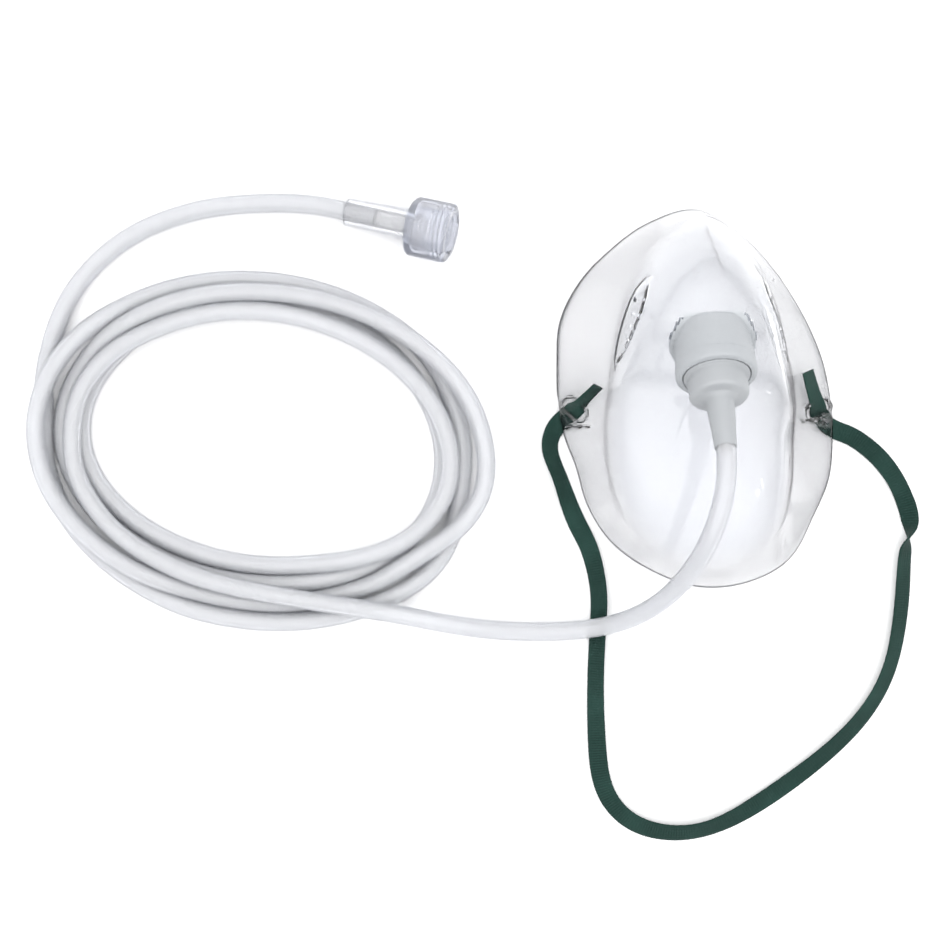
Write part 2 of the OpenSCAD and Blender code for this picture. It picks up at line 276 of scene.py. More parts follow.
def coil_points():
    """Points along the middle of the coil's turns."""
    travel = np.arange(100, 1531, 10.0)
    inward, angle = through(COIL_INWARD, travel), np.radians(-90 - travel)
    x, y = (COIL_OVAL[0] - inward) * np.cos(angle), (COIL_OVAL[1] - inward) * np.sin(angle)
    c, s = math.cos(COIL_TURN), math.sin(COIL_TURN)
    flat = [COIL_MIDDLE[0] + x * c - y * s, COIL_MIDDLE[1] + x * s + y * c]
    return np.stack(flat + [through(COIL_HEIGHT, travel)], -1).tolist()


def settle(path, first, last, rounds=300, apart=12, ramp=6,
           push_share=0.225, ease_share=0.2, home_share=0.012):
    """Pushes the turns between two points of a path apart until they only touch.

    Points fewer than apart steps from each other along the path are left alone, and the push fades
    in over ramp points. The shares say how much of each correction is made in a round.
    """
    home, count = path.copy(), len(path)
    free = np.zeros(count)
    free[first:last] = 1
    free[first : first + ramp] *= np.arange(1, ramp + 1) / ramp
    free[last - ramp : last] *= np.arange(ramp, 0, -1) / ramp
    one, two = np.triu_indices(count, apart)
    for _ in range(rounds):
        between = path[one] - path[two]
        far = np.linalg.norm(between, axis=1)
        near = far < TUBE_GAP
        i, j = one[near], two[near]
        push = between[near] / far[near, None] * ((TUBE_GAP - far[near]) * push_share)[:, None]
        move, hits = np.zeros_like(path), np.zeros(count)
        np.add.at(move, i, push)
        np.add.at(move, j, -push)
        np.add.at(hits, i, 1)
        np.add.at(hits, j, 1)
        move /= np.sqrt(np.maximum(hits, 1))[:, None]
        curl = np.zeros_like(path)
        curl[1:-1] = (path[:-2] + path[2:]) / 2 - path[1:-1]
        ease = np.zeros_like(path)
        ease[2:-2] = curl[2:-2] - (curl[1:-3] + curl[3:-1]) / 2
        home_pull = (home - path) * [1, 1, 0.6]
        path = path + (move + ease_share * ease + home_share * home_pull) * free[:, None]
        path[:, 2] = np.maximum(path[:, 2], TUBE_R + TABLE_GAP)
    return path


def relax(path, first, last, rounds):
    """Evens out the bends between two points of a path."""
    part = path[first - 2 : last + 2]
    for _ in range(rounds):
        curl = (part[:-2] + part[2:]) / 2 - part[1:-1]
        part[2:-2] += 0.2 * (curl[1:-1] - (curl[:-2] + curl[2:]) / 2)


def nearest(path, point):
    """The number of the path's point that lies closest to a point."""
    return int(np.argmin(np.linalg.norm(path - np.array(point), axis=1)))


def transport(path):
    """Directions along a path, and a side and up that turn with it without twisting."""
    along = np.gradient(path, axis=0)
    along /= np.linalg.norm(along, axis=1)[:, None]
    side = np.zeros_like(path)
    side[0] = axes_of(along[0])[0]
    for i in range(1, len(path)):
        s = side[i - 1] - along[i] * (side[i - 1] @ along[i])
        side[i] = s / np.linalg.norm(s)
    return along, side, np.cross(along, side)


def hollow_tube(name, path, outer, inner, sides=20):
    """A tube of even wall along a path, open at both ends."""
    along, side, up = transport(path)
    turn = np.linspace(0, 2 * math.pi, sides, endpoint=False)
    around = np.cos(turn)[:, None] * side[:, None] + np.sin(turn)[:, None] * up[:, None]
    skin, bore = path[:, None] + outer * around, path[:, None] + inner * around
    count = len(path)
    faces = loft(count, sides, False) + loft(count, sides, False, count * sides)
    for end in (0, count - 1):
        a = end * sides + np.arange(sides)
        b = a + count * sides
        faces += np.stack([a, np.roll(a, -1), np.roll(b, -1), b], -1).tolist()
    run = distances(path)
    u = np.repeat(run * MM, sides)
    v = np.tile(np.abs(np.linspace(-1, 1, sides, endpoint=False)), count)
    uv = np.stack([u, v], -1)
    return new_object(name, np.r_[skin.reshape(-1, 3), bore.reshape(-1, 3)], faces, np.r_[uv, uv])


SETTLE_STEP, TUBE_STEP = 3.0, 2.0
inside_stem = [PORT_BASE + PORT_AXIS * (STEM_END - s) for s in (SOCKET_DEPTH - 0.3, 4, 0)]
inside_cuff = [CUFF_MOUTH + CONNECTOR_AXIS * s for s in (0, 5, CUFF_GRIP)]
tube_route = inside_stem + MASK_LEAD + LEAD_OVER_COIL + coil_points() + END_LEAD + inside_cuff
tube_path = spline(tube_route, SETTLE_STEP)
tube_path = settle(tube_path, nearest(tube_path, MASK_LEAD[-1]) - 4, nearest(tube_path, END_LEAD[0]))
tube_knots = tube_path[::2] if len(tube_path) % 2 else np.r_[tube_path[::2], tube_path[-1:]]
tube_path = spline(tube_knots, TUBE_STEP)
# The bend out of the adapter's stem and the last climb are evened out
relax(tube_path, 6, 44, 8000)
climb = nearest(tube_path, LAST_CLIMB)
relax(tube_path, climb - 16, climb + 16, 200)
supply_tube = hollow_tube("supply_tube", tube_path, TUBE_R, BORE_R)

# ---------------------------------------------------------------- head strap
STRAP_WIDTH, STRAP_THICK = 6.5, 1.0
STRAP_ROUTE = [
    [-34.6, 4.2, 12.8], [-38.5, 0.4, 10.9], [-41, -2.1, 8.8], [-42.6, -3.6, 6.5],
    [-44.3, -5.2, 3.2], [-46.5, -7, 1.4], [-49.4, -10.5, 0.7], [-51, -16, 0.6],
    [-50, -21, 0.6], [-47.4, -27.5, 0.6], [-44.4, -36, 0.6], [-41, -44, 0.6],
    [-37.6, -51, 0.6], [-35.2, -59, 0.6], [-33.8, -69.5, 0.6], [-34.4, -84, 0.6],
    [-35, -103, 0.6], [-34.4, -121, 0.6], [-31.5, -137, 0.6], [-22.5, -147.5, 0.6],
    [-8.5, -151.5, 0.6], [7, -149, 0.6], [27, -138, 0.6], [48.5, -121.3, 0.6],
    [60.5, -108, 0.6], [67, -96, 0.6], [70.5, -83, 0.6], [72.5, -66, 0.6],
    [73.5, -52, 0.6], [75, -43, 0.6], [72.5, -32.5, 0.6], [66, -22, 0.6],
    [58.5, -15.2, 0.6], [53.5, -12.2, 0.6], [49.3, -10.6, 0.8], [45.4, -8.3, 1.6],
    [43.2, -5.7, 3.4], [42, -3.4, 6.4], [40.9, -0.6, 8.8], [39.4, 4, 9.7], [37.8, 9.5, 10.4]]
STRAP_STEP = 1.0
RIBS = 6
RIB_DEPTH = 0.07


def strap_section():
    """Offsets (across, up) round the band: ribbed faces and round edges."""
    half, thick = STRAP_WIDTH / 2, STRAP_THICK / 2
    edge = thick * 0.8
    across = np.linspace(-(half - edge), half - edge, 25)
    rib = RIB_DEPTH * np.cos(across / half * math.pi * RIBS) - RIB_DEPTH
    corner = np.linspace(math.pi / 2, -math.pi / 2, 7)[1:-1]
    right = np.stack([half - edge + edge * np.cos(corner), (thick - RIB_DEPTH) * np.sin(corner)], -1)
    top = np.stack([across, thick + rib], -1)
    return np.r_[top, right, top[::-1] * [1, -1], right[::-1] * [-1, 1]]


def strap_mesh(name, path, tilts):
    """The band along a path, turned about itself by the (share of the length, degrees) of tilts."""
    section = strap_section()
    run = distances(path)
    angle = np.radians(through(tilts, run / run[-1]))
    along = np.gradient(path, axis=0)
    along /= np.linalg.norm(along, axis=1)[:, None]
    side = np.cross(along, [0.0, 0.0, 1.0])
    side /= np.linalg.norm(side, axis=1)[:, None]
    up = np.cross(side, along)
    c, s = np.cos(angle)[:, None], np.sin(angle)[:, None]
    across, over = side * c + up * s, up * c - side * s
    reach = STRAP_WIDTH / 2 * np.abs(across[:, 2]) + STRAP_THICK / 2 * np.abs(over[:, 2]) + 0.05
    path = path.copy()
    path[:, 2] = np.maximum(path[:, 2], reach)
    rings = path[:, None] + section[:, 0, None] * across[:, None] + section[:, 1, None] * over[:, None]
    count, sides = len(path), len(section)
    faces = loft(count, sides, False)
    faces += [list(range(sides)), list(range((count - 1) * sides, count * sides))]
    uv = np.stack([np.repeat(run * MM, sides), np.tile(section[:, 0] / STRAP_WIDTH + 0.5, count)], -1)
    return new_object(name, rings.reshape(-1, 3), faces, uv), path


strap_line = spline(STRAP_ROUTE, STRAP_STEP)
# The bends where the strap leaves its slots are evened out
relax(strap_line, 8, 44, 60)
relax(strap_line, len(strap_line) - 34, len(strap_line) - 6, 60)
STRAP_TILTS = [
    (0, 58), (0.02, 52), (0.034, 6), (0.05, 0), (0.07, 24), (0.10, 36), (0.13, 20), (0.16, -10),
    (0.20, -28), (0.25, -34), (0.30, -30), (0.36, -12), (0.42, -20), (0.48, -30), (0.55, -14),
    (0.62, -26), (0.70, -34), (0.76, -30), (0.80, -40), (0.83, -150), (0.86, -186), (0.90, -172),
    (0.94, -180), (0.962, -182), (0.975, -214), (1, -224)]
head_strap, strap_path = strap_mesh("strap_band", strap_line, STRAP_TILTS)

# ---------------------------------------------------------------- shell
# Radii of the outer edge and of the crease, every 15 degrees round from +X
RIM_RADII = [47, 46.5, 47, 49, 53, 59, 65.5, 63.5, 60, 57.5, 54.5, 50,
             48, 47.5, 48, 53, 58, 61.5, 65, 66, 64.5, 58, 54, 49.5]
CREASE_RADII = [32.5, 32.5, 34, 38.5, 46, 56.5, 63, 55.5, 46, 38, 33.5, 31.5,
                31.5, 33.5, 37, 42.5, 49.5, 55.5, 59, 59, 54, 44.5, 37, 33.5]
CROWN = (1.0, 18.0)
SHELL_WALL = 1.6
EDGE_Z = 0.83 * SHELL_WALL
STATIONS = 300
SLOTS = [((-42.6, -3.6), -45), ((42.0, -3.4), 25)]
SLOT_LENGTH, SLOT_WIDTH = 8.5, 4.0
SLOT_SQUARENESS = 0.45
# Raised bars below the slots: left end, right end and Y
SLOT_BARS = [(-45.0, -38.2, -9.6), (35.0, 45.4, -7.6)]
VENT_MIDDLES = (42, 138)
VENT_PITCH, VENT_LEVEL, VENT_R, VENT_HOLES = 6, 0.07, 0.9, 5


def radius_at(radii, angle):
    """The radius at an angle, smoothly between the stations."""
    place = (angle / 15) % 24
    i = np.floor(place).astype(int)
    t = place - i
    a, b, c, d = (np.array(radii, float)[(i + k) % 24] for k in (-1, 0, 1, 2))
    return b + 0.5 * t * (c - a + t * (2 * a - 5 * b + 4 * c - d + t * (3 * (b - c) + d - a)))


def shell_point(angle, level):
    """Points of the outer surface: level -1 at the edge, 0 at the crease, 1 at the crown."""
    r0, r1 = radius_at(RIM_RADII, angle), radius_at(CREASE_RADII, angle)
    cosine, sine = np.cos(np.radians(angle)), np.sin(np.radians(angle))
    up, down = np.maximum(0, sine), np.maximum(0, -sine)
    lift = 1.8 * np.exp(-(((r0 * sine + 5) / 10) ** 2)) * cosine**2
    rim_z = EDGE_Z + 8 * up**6 + 5 * down**6 + lift
    crease_z = rim_z + 12 * (1 - 0.58 * sine**4)
    flange, dome = np.clip(level + 1, 0, 1), np.clip(level, 0, 1)
    r = r0 + (r1 - r0) * flange
    x, y, z = r * cosine, r * sine, rim_z + (crease_z - rim_z) * flange
    x, y = x + (CROWN[0] - x) * dome, y + (CROWN[1] - y) * dome
    step = np.clip(y / 27, 0, 1)
    ridge = 24.5 + 22 * step**2 * (3 - 2 * step)
    ridge = ridge - 0.003 * np.maximum(0, y - 27) ** 2 - 0.0012 * np.minimum(0, y) ** 2
    wall = 1 - (1 - dome) ** (7 - 3.8 * up**4 - 2.5 * down**4)
    return np.stack([x, y, z + (ridge - z) * wall], -1), wall


def normals_of(grid):
    """Unit normals of a grid of rings of points."""
    around = np.roll(grid, -1, 1) - np.roll(grid, 1, 1)
    rise = np.gradient(grid, axis=0)
    n = np.cross(around, rise)
    return n / np.linalg.norm(n, axis=-1)[..., None]


def bump(x, width):
    """1 at x = 0, falling smoothly to nothing a few widths away."""
    return np.exp(-((x / width) ** 2))


def slot_frame(x, y, middle, turn):
    """Distances along and across a strap slot."""
    c, s = math.cos(math.radians(turn)), math.sin(math.radians(turn))
    x, y = x - middle[0], y - middle[1]
    return x * c + y * s, y * c - x * s


def past_ends(x, left, right):
    """Distance beyond the nearer end of a bar."""
    return np.maximum(np.maximum(left - x, x - right), 0)


def nose_ridge(x, y):
    """Distance from the moulding line down the nose, and how strong the line is there."""
    down = 64 - y
    away = x - 0.6 - 0.022 * down - 0.006 * down**2
    return away, np.clip((y - 38) / 8, 0, 1) * np.clip(down / 6, 0, 1)


def shell_detail(angle, level, wall, grid):
    """How far the surface stands out from its plain form, in mm."""
    out = np.zeros_like(angle)
    for middle in VENT_MIDDLES:
        lean = (angle - middle) * (1 if middle > 90 else -1)
        oval = np.sqrt((lean / 20) ** 2 + ((wall - 0.36 + 0.006 * lean) / 0.25) ** 2)
        out += np.where(level > 0, 0.75 * bump(oval - 1, 0.17) - 0.25 * bump(oval, 0.7), 0)
    flange = np.clip(-level, 0, 1) * (level < 0)
    for middle, lean, height in ((122, 5, 0.8), (60, -4, 0.7), (246, 3, 0.4), (301, -3, 0.4)):
        out += height * bump(angle - middle - lean * flange, 1.3) * bump(flange - 0.5, 0.45)
    x, y = grid[..., 0], grid[..., 1]
    nose = (level > 0) & (y > 36)
    line, fade = nose_ridge(x, y)
    out += np.where(nose, 0.2 * bump(line, 0.9) * fade, 0)
    arc = np.sqrt((x + 0.5) ** 2 + (y - 34) ** 2) - 16
    out += np.where(nose, 0.22 * bump(arc, 1.4) * bump(x + 2, 8), 0)
    for middle, turn in SLOTS:
        u, v = slot_frame(x, y, middle, turn)
        far_u = np.maximum(np.abs(u) - SLOT_LENGTH / 2 + 2, 0)
        far_v = np.maximum(np.abs(v) - SLOT_WIDTH / 2 + 2, 0)
        out += 0.9 * bump(np.hypot(far_u, far_v) - 2.9, 0.65)
    for left, right, bar_y in SLOT_BARS:
        out += 0.9 * bump(y - bar_y, 0.6) * bump(past_ends(x, left, right), 0.7)
    return out


def shell_grid():
    """The outer surface as rings of points from the edge up to the crown."""
    levels = np.r_[np.linspace(-1, 0, 22)[:-1], (np.linspace(0, 1, 60)[:-2]) ** 1.6]
    angle, level = np.meshgrid(np.arange(STATIONS) * 360 / STATIONS, levels)
    grid, wall = shell_point(angle, level)
    chin = np.maximum(0, -np.sin(np.radians(angle))) ** 3
    fold = (bump(level, 0.06 + 0.5 * chin) * 0.5)[..., None]
    for _ in range(8):
        mean = (np.roll(grid, 1, 0) + np.roll(grid, -1, 0)) / 2
        mean[0], mean[-1] = grid[0], grid[-1]
        grid = grid + (mean - grid) * fold
    return grid + normals_of(grid) * shell_detail(angle, level, wall, grid)[..., None]


def shell_solid(name):
    """The outer surface, an inner one at the wall's thickness and a round lip between them."""
    outer = shell_grid()
    normal = normals_of(outer)
    inner = outer - normal * SHELL_WALL
    outward = np.cross(np.roll(outer[0], -1, 0) - np.roll(outer[0], 1, 0), normal[0])
    outward /= np.linalg.norm(outward, axis=-1)[:, None]
    middle = (outer[0] + inner[0]) / 2
    if ((outward * (middle - [0, 0, middle[:, 2].mean()])).sum(1)).mean() < 0:
        outward = -outward
    lip = [middle + SHELL_WALL / 2 * (np.cos(turn) * normal[0] + np.sin(turn) * outward * 0.9)
           for turn in np.radians([150, 120, 90, 60, 30])]
    crown = outer[-1].mean(0)
    rings = np.concatenate([inner[::-1], lip, outer])
    count = len(rings)
    points = np.r_[rings.reshape(-1, 3), [crown - [0, 0, SHELL_WALL], crown]]
    faces = loft(count, STATIONS, False)
    faces += fan(0, STATIONS, count * STATIONS)
    faces += fan((count - 1) * STATIONS, STATIONS, count * STATIONS + 1)
    return new_object(name, points, faces)


def slot_cutter(name, middle, turn):
    """An upright rounded slot from below the table to above the flange."""
    t = np.linspace(0, 2 * math.pi, 48, endpoint=False)
    u = SLOT_LENGTH / 2 * np.sign(np.cos(t)) * np.abs(np.cos(t)) ** SLOT_SQUARENESS
    v = SLOT_WIDTH / 2 * np.sign(np.sin(t)) * np.abs(np.sin(t)) ** SLOT_SQUARENESS
    c, s = math.cos(math.radians(turn)), math.sin(math.radians(turn))
    flat = np.stack([middle[0] + u * c - v * s, middle[1] + u * s + v * c], -1)
    rings = [np.c_[flat, np.full(len(t), z)] for z in (-2.0, 14.0)]
    faces = loft(2, len(t), False) + [list(range(len(t))), list(range(len(t), 2 * len(t)))]
    return new_object(name, np.concatenate(rings), faces)


def add_slots(obj, count):
    """Empty material slots, to be filled once the looks are made."""
    for _ in range(count):
        obj.data.materials.append(None)


def frost_faces(obj):
    """Gives a cutter's faces the second material, which they keep in the piece they are cut into."""
    add_slots(obj, 2)
    obj.data.polygons.foreach_set("material_index", [1] * len(obj.data.polygons))


def give_look(obj, slot, base, direction, reach, span):
    """Gives a material slot to the faces within reach of an axis, between two distances along it."""
    polygons = obj.data.polygons
    away = read(polygons, "center", np.float32, 3) / MM - base
    along = away @ direction
    off = np.linalg.norm(away - along[:, None] * direction, axis=1)
    index = read(polygons, "material_index", np.int32)
    index[(off < reach) & (along > span[0]) & (along < span[1])] = slot
    polygons.foreach_set("material_index", index)


PORT_BORE_R = 11.0
COLLAR_LENGTH = 17
FROST_REACH = 14.3
shell = shell_solid("shell_skin")
add_slots(shell, 2)
collar = [(0, 0), (12.4, 0), (12.85, 0.2), (13, 0.7), (13.1, 12), (13.02, 12.12),
          (13.02, 12.26), (13.3, 12.5), (13.5, 15.4), (13.5, 16.2), (13.3, 16.75),
          (12.85, COLLAR_LENGTH), (0, COLLAR_LENGTH)]
collar_part = disc_stack("collar", collar, PORT_BASE, PORT_AXIS, 128)
frost_faces(collar_part)
combine(shell, collar_part, "UNION")
bore = [(0, -2), (9, -2), (9, 0), (PORT_BORE_R, 1.9), (PORT_BORE_R, 16.2), (11.2, 16.7),
        (11.6, 17.2), (11.6, 19), (0, 19)]
bore_part = disc_stack("bore", bore, PORT_BASE, PORT_AXIS, 128)
frost_faces(bore_part)
combine(shell, bore_part, "DIFFERENCE")
for middle, turn in SLOTS:
    combine(shell, slot_cutter("slot", middle, turn), "DIFFERENCE")
for middle in VENT_MIDDLES:
    for i in range(VENT_HOLES):
        angle = middle + VENT_PITCH * (i - (VENT_HOLES - 1) / 2)
        place, _ = shell_point(np.array([angle]), np.array([VENT_LEVEL]))
        around, _ = shell_point(np.array([angle + 1, angle - 1]), np.array([VENT_LEVEL] * 2))
        rise, _ = shell_point(np.array([angle] * 2), np.array([VENT_LEVEL + 0.01, VENT_LEVEL - 0.01]))
        direction = np.cross(around[0] - around[1], rise[0] - rise[1])
        direction /= np.linalg.norm(direction)
        pin = [(0, -4), (VENT_R, -4), (VENT_R, 0.2), (VENT_R + 0.35, 0.75), (VENT_R + 0.35, 3), (0, 3)]
        combine(shell, disc_stack("vent", pin, place[0], direction, 28), "DIFFERENCE")
# The dome's faces round the collar's root are frosted too, or dark crescents show inside it
give_look(shell, 1, PORT_BASE, PORT_AXIS, FROST_REACH, (-1.2, COLLAR_LENGTH))
shade(shell, 32)


def mark_edges(obj):
    """Stores how near each point is to the rim's outermost line and to the crease, and what is dome.
    The rim and fold values are painted shade: dark outlines along the rim, the slots and the bars, and
    dark lines along the crease and the nose ridge.
    """
    x, y, z = read(obj.data.vertices, "co", np.float32, 3).T / MM
    angle = np.degrees(np.arctan2(y, x)) % 360
    radius, crease = np.hypot(x, y), radius_at(CREASE_RADII, angle)
    # Painted shade: a near-black outline along the rim's outermost line
    painted_outline_shade = np.clip((radius - radius_at(RIM_RADII, angle) + 0.5) / 0.3, 0, 1)
    # Painted shade along the crease, full strength on the +X side and half on the -X side, which gets
    # more light, and along the nose ridge
    fold = bump(radius - crease + 0.4, 0.8) * (z > 6)
    fold *= np.clip((np.abs(x) - 18) / 10, 0, 1) * np.clip((y + 50) / 20, 0, 1)
    fold *= np.where(x > 0, 1.0, 0.5)
    nose_line, nose_fade = nose_ridge(x, y)
    fold = np.maximum(fold, 0.5 * bump(nose_line, 0.45) * nose_fade * (z > 12))
    # Painted shade: dark rings round the slot edges and dark lines along the bars below them
    power = 2 / SLOT_SQUARENESS
    for middle, turn in SLOTS:
        u, v = slot_frame(x, y, middle, turn)
        u, v = np.abs(2 * u / SLOT_LENGTH), np.abs(2 * v / SLOT_WIDTH)
        edge = (u**power + v**power) ** (1 / power)
        painted_outline_shade = np.maximum(painted_outline_shade, 0.75 * bump(edge - 1.02, 0.14))
    for left, right, bar_y in SLOT_BARS:
        painted_outline_shade = np.maximum(painted_outline_shade, 0.7 * bump(y - bar_y, 0.35) * bump(past_ends(x, left, right), 0.6))
    dome = np.clip((crease - radius) / 6, 0, 1)
    for label, value in (("painted_outline_shade", painted_outline_shade), ("fold", fold), ("dome", dome)):
        layer = obj.data.attributes.new(label, "FLOAT", "POINT")
        layer.data.foreach_set("value", value.astype(np.float32))


mark_edges(shell)

# ---------------------------------------------------------------- adapter
adapter_profile = rounded([
    (9.35, 2, 0.3), (10.95, 2, 0.5), (10.95, 17.3, 0.25), (9.8, 17.8, 0.3), (9.8, 25, 1.4),
    (5.6, 25.2, 0.9), (4.75, 26.4, 0.6), (3.6, 43.6, 0.2), (3.3, 43.6, 0.1), (3.3, 33.6, 0.1),
    (2.2, 33.6, 0.1), (2.2, 23.4, 0.3), (9.35, 23.4, 0.8)])
adapter = revolve("adapter_body", adapter_profile, PORT_BASE, PORT_AXIS, 120)

# ---------------------------------------------------------------- connector
CUFF_LENGTH, CUFF_BORE_R, CUFF_REACH = 23, 3.6, 9
NUT_START, NUT_FLAT_R = 23.4, 9.5
cuff_profile = rounded([
    (3.27, 0, 0.3), (4.75, 0, 0.5), (4.85, 2.4, 0.5), (4.7, 3.1, 0.4), (5.5, CUFF_LENGTH, 0.5),
    (3.32, CUFF_LENGTH, 0.15), (3.32, 11.2, 0.1), (3.27, 10.8, 0.1)])
cuff = revolve("cuff_sleeve", cuff_profile, CUFF_MOUTH, CONNECTOR_AXIS, 72)
gland_profile = rounded([
    (1.6, 11.5, 0.2), (2.9, 11.5, 0.3), (3.28, 13.5, 0.3), (3.28, 23.1, 0.1), (3.6, 23.1, 0.15),
    (3.6, 26.2, 0.1), (6.6, 26.2, 0.2), (6.6, 27.8, 0.3), (4, 28, 0.4), (2.9, 31.6, 0.4),
    (1.6, 31.6, 0.2)])
gland = revolve("gland_core", gland_profile, CUFF_MOUTH, CONNECTOR_AXIS, 72)


def nut_mesh(name, base, direction, steps=216):
    """Six-sided hand nut with rounded corners, a back wall, a relief and a screw thread."""
    turn, around = ring(direction, steps)
    flat = NUT_FLAT_R / np.cos(turn % (math.pi / 3) - math.pi / 6)

    def outside(corner, blend=5.0):
        return -np.log(np.exp(-blend * flat) + np.exp(-blend * corner)) / blend

    rings = []
    for s, corner, inset in (
            (0, 9.0, 0.9), (0.12, 9.3, 0.5), (0.5, 9.75, 0.18), (1.1, 10.1, 0), (1.8, 10.4, 0),
            (5, 10.4, 0), (9, 10.4, 0), (13.2, 10.4, 0), (14.2, 10.3, 0), (14.7, 10.05, 0.15),
            (14.93, 9.75, 0.4), (15, 9.4, 0.75)):
        rings.append((outside(corner) - inset, np.full(steps, s)))
    rings.append((np.full(steps, 7.75), np.full(steps, 15.0)))
    pitch, depth, crest = 1.6, 0.42, 7.15
    for s in np.arange(14.6, 8.4, -0.16):
        fade = min(1, (14.8 - s) / 0.8, (s - 8.2) / 0.8)
        wave = np.cos(2 * math.pi * s / pitch - turn)
        rings.append((crest + depth * (0.5 - 0.5 * wave) * fade, np.full(steps, s)))
    for r, s in ((7.62, 8.2), (7.65, 7.6), (7.65, 3.1), (7.4, 2.6), (6.9, 2.5), (3.9, 2.5), (3.68, 2.3),
                 (3.68, 0.3), (3.9, 0)):
        rings.append((np.full(steps, r), np.full(steps, s)))
    points = [base + r[:, None] * around + s[:, None] * direction for r, s in rings]
    return new_object(name, np.concatenate(points), loft(len(points), steps, True))


nut = nut_mesh("nut_body", CUFF_MOUTH + CONNECTOR_AXIS * NUT_START, CONNECTOR_AXIS)


# ---------------------------------------------------------------- materials
def material(name, color, roughness, transmission=0.0, ior=1.46):
    made = bpy.data.materials.new(name)
    made.use_nodes = True
    shader = made.node_tree.nodes["Principled BSDF"]
    shader.inputs["Base Color"].default_value = (*color, 1)
    shader.inputs["Roughness"].default_value = roughness
    shader.inputs["Transmission Weight"].default_value = transmission
    shader.inputs["IOR"].default_value = ior
    return made, made.node_tree, shader


def noise(tree, scale, detail):
    place = tree.nodes.new("ShaderNodeTexCoord")
    texture = tree.nodes.new("ShaderNodeTexNoise")
    texture.inputs["Scale"].default_value = scale
    texture.inputs["Detail"].default_value = detail
    tree.links.new(place.outputs["Object"], texture.inputs["Vector"])
    return texture.outputs["Fac"]


def ranged(tree, value, low, high, start=0.3, end=0.7):
    node = tree.nodes.new("ShaderNodeMapRange")
    node.inputs["From Min"].default_value = start
    node.inputs["From Max"].default_value = end
    node.inputs["To Min"].default_value = low
    node.inputs["To Max"].default_value = high
    tree.links.new(value, node.inputs["Value"])
    return node.outputs["Result"]


def bumped(tree, shader, height, strength, distance):
    node = tree.nodes.new("ShaderNodeBump")
    node.inputs["Strength"].default_value = strength
    node.inputs["Distance"].default_value = distance
    tree.links.new(height, node.inputs["Height"])
    tree.links.new(node.outputs["Normal"], shader.inputs["Normal"])


def mixed(tree, fac, one, two):
    """A blend from one, a colour or another node's output, to the colour two."""
    node = tree.nodes.new("ShaderNodeMix")
    node.data_type = "RGBA"
    node.inputs["B"].default_value = (*two, 1)
    tree.links.new(fac, node.inputs["Factor"])
    if isinstance(one, bpy.types.NodeSocket):
        tree.links.new(one, node.inputs["A"])
    else:
        node.inputs["A"].default_value = (*one, 1)
    return node.outputs["Result"]


FILM_ROUGHNESS, FILM_IOR = 0.05, 1.03


def clear_plastic(name, tint, roughness, ior, absorbed, density, wave_scale, wave,
                  transmission=1.0, tint_and_painted_shade_marks=(), film=None):
    """See-through plastic that deepens with thickness, with clouding, uneven gloss, a slight ripple and
    marks, stored attributes that blend the tint towards given colours, such as painted shade along
    outlines.

    The film is a faint tinted coat, which darkens the outline of what is round.
    """
    made, tree, shader = material(name, tint, roughness, transmission, ior)
    if film is not None:
        shader.inputs["Coat Weight"].default_value = 1
        shader.inputs["Coat Roughness"].default_value = FILM_ROUGHNESS
        shader.inputs["Coat IOR"].default_value = FILM_IOR
        shader.inputs["Coat Tint"].default_value = (*film, 1)
    depth = tree.nodes.new("ShaderNodeVolumeAbsorption")
    depth.inputs["Color"].default_value = (*absorbed, 1)
    depth.inputs["Density"].default_value = density
    tree.links.new(depth.outputs["Volume"], tree.nodes["Material Output"].inputs["Volume"])
    tint = mixed(tree, noise(tree, 35, 2), tint, [0.99 * c for c in tint])
    # Each mark blends the tint towards its colour where its attribute is set; on the shell these paint
    # shade along outlines and creases
    for label, shade_color in tint_and_painted_shade_marks:
        mark = tree.nodes.new("ShaderNodeAttribute")
        mark.attribute_name = label
        tint = mixed(tree, ranged(tree, mark.outputs["Fac"], 0, 1, 0, 1), tint, shade_color)
    tree.links.new(tint, shader.inputs["Base Color"])
    gloss = noise(tree, 160, 4)
    tree.links.new(ranged(tree, gloss, roughness * 0.6, roughness * 1.6), shader.inputs["Roughness"])
    bumped(tree, shader, noise(tree, wave_scale, 2), wave, 0.001)
    return made


# The rim and fold marks are painted shade: near black along the outlines and dark grey along the crease
# and nose ridge. The dome mark tints the dome a little grey-blue.
vinyl = clear_plastic(
    "shell_vinyl", tint=(0.996, 0.997, 0.999), roughness=0.045, ior=1.45,
    absorbed=(0.80, 0.82, 0.87), density=50, wave_scale=60, wave=0.12,
    tint_and_painted_shade_marks=[("dome", (0.945, 0.955, 0.975)), ("fold", (0.15, 0.14, 0.15)), ("painted_outline_shade", (0.03, 0.03, 0.035))])
tube_vinyl = clear_plastic(
    "tube_vinyl_look", tint=(0.95, 0.955, 0.965), roughness=0.10, ior=1.42,
    absorbed=(0.60, 0.62, 0.65), density=8, wave_scale=220, wave=0.04, transmission=0.64,
    film=(0.92, 0.924, 0.932))
cuff_vinyl = clear_plastic(
    "cuff_vinyl_look", tint=(0.996, 0.997, 0.999), roughness=0.04, ior=1.44,
    absorbed=(0.50, 0.53, 0.58), density=6, wave_scale=180, wave=0.10, transmission=0.90,
    film=(0.955, 0.959, 0.97))
gland_plastic = clear_plastic(
    "gland_look", tint=(0.997, 0.998, 0.999), roughness=0.05, ior=1.44,
    absorbed=(0.60, 0.63, 0.68), density=4, wave_scale=150, wave=0.08, transmission=0.80)
nut_plastic = clear_plastic(
    "nut_plastic_look", tint=(0.89, 0.90, 0.94), roughness=0.13, ior=1.48,
    absorbed=(0.35, 0.40, 0.52), density=95, wave_scale=120, wave=0.08, transmission=0.84)


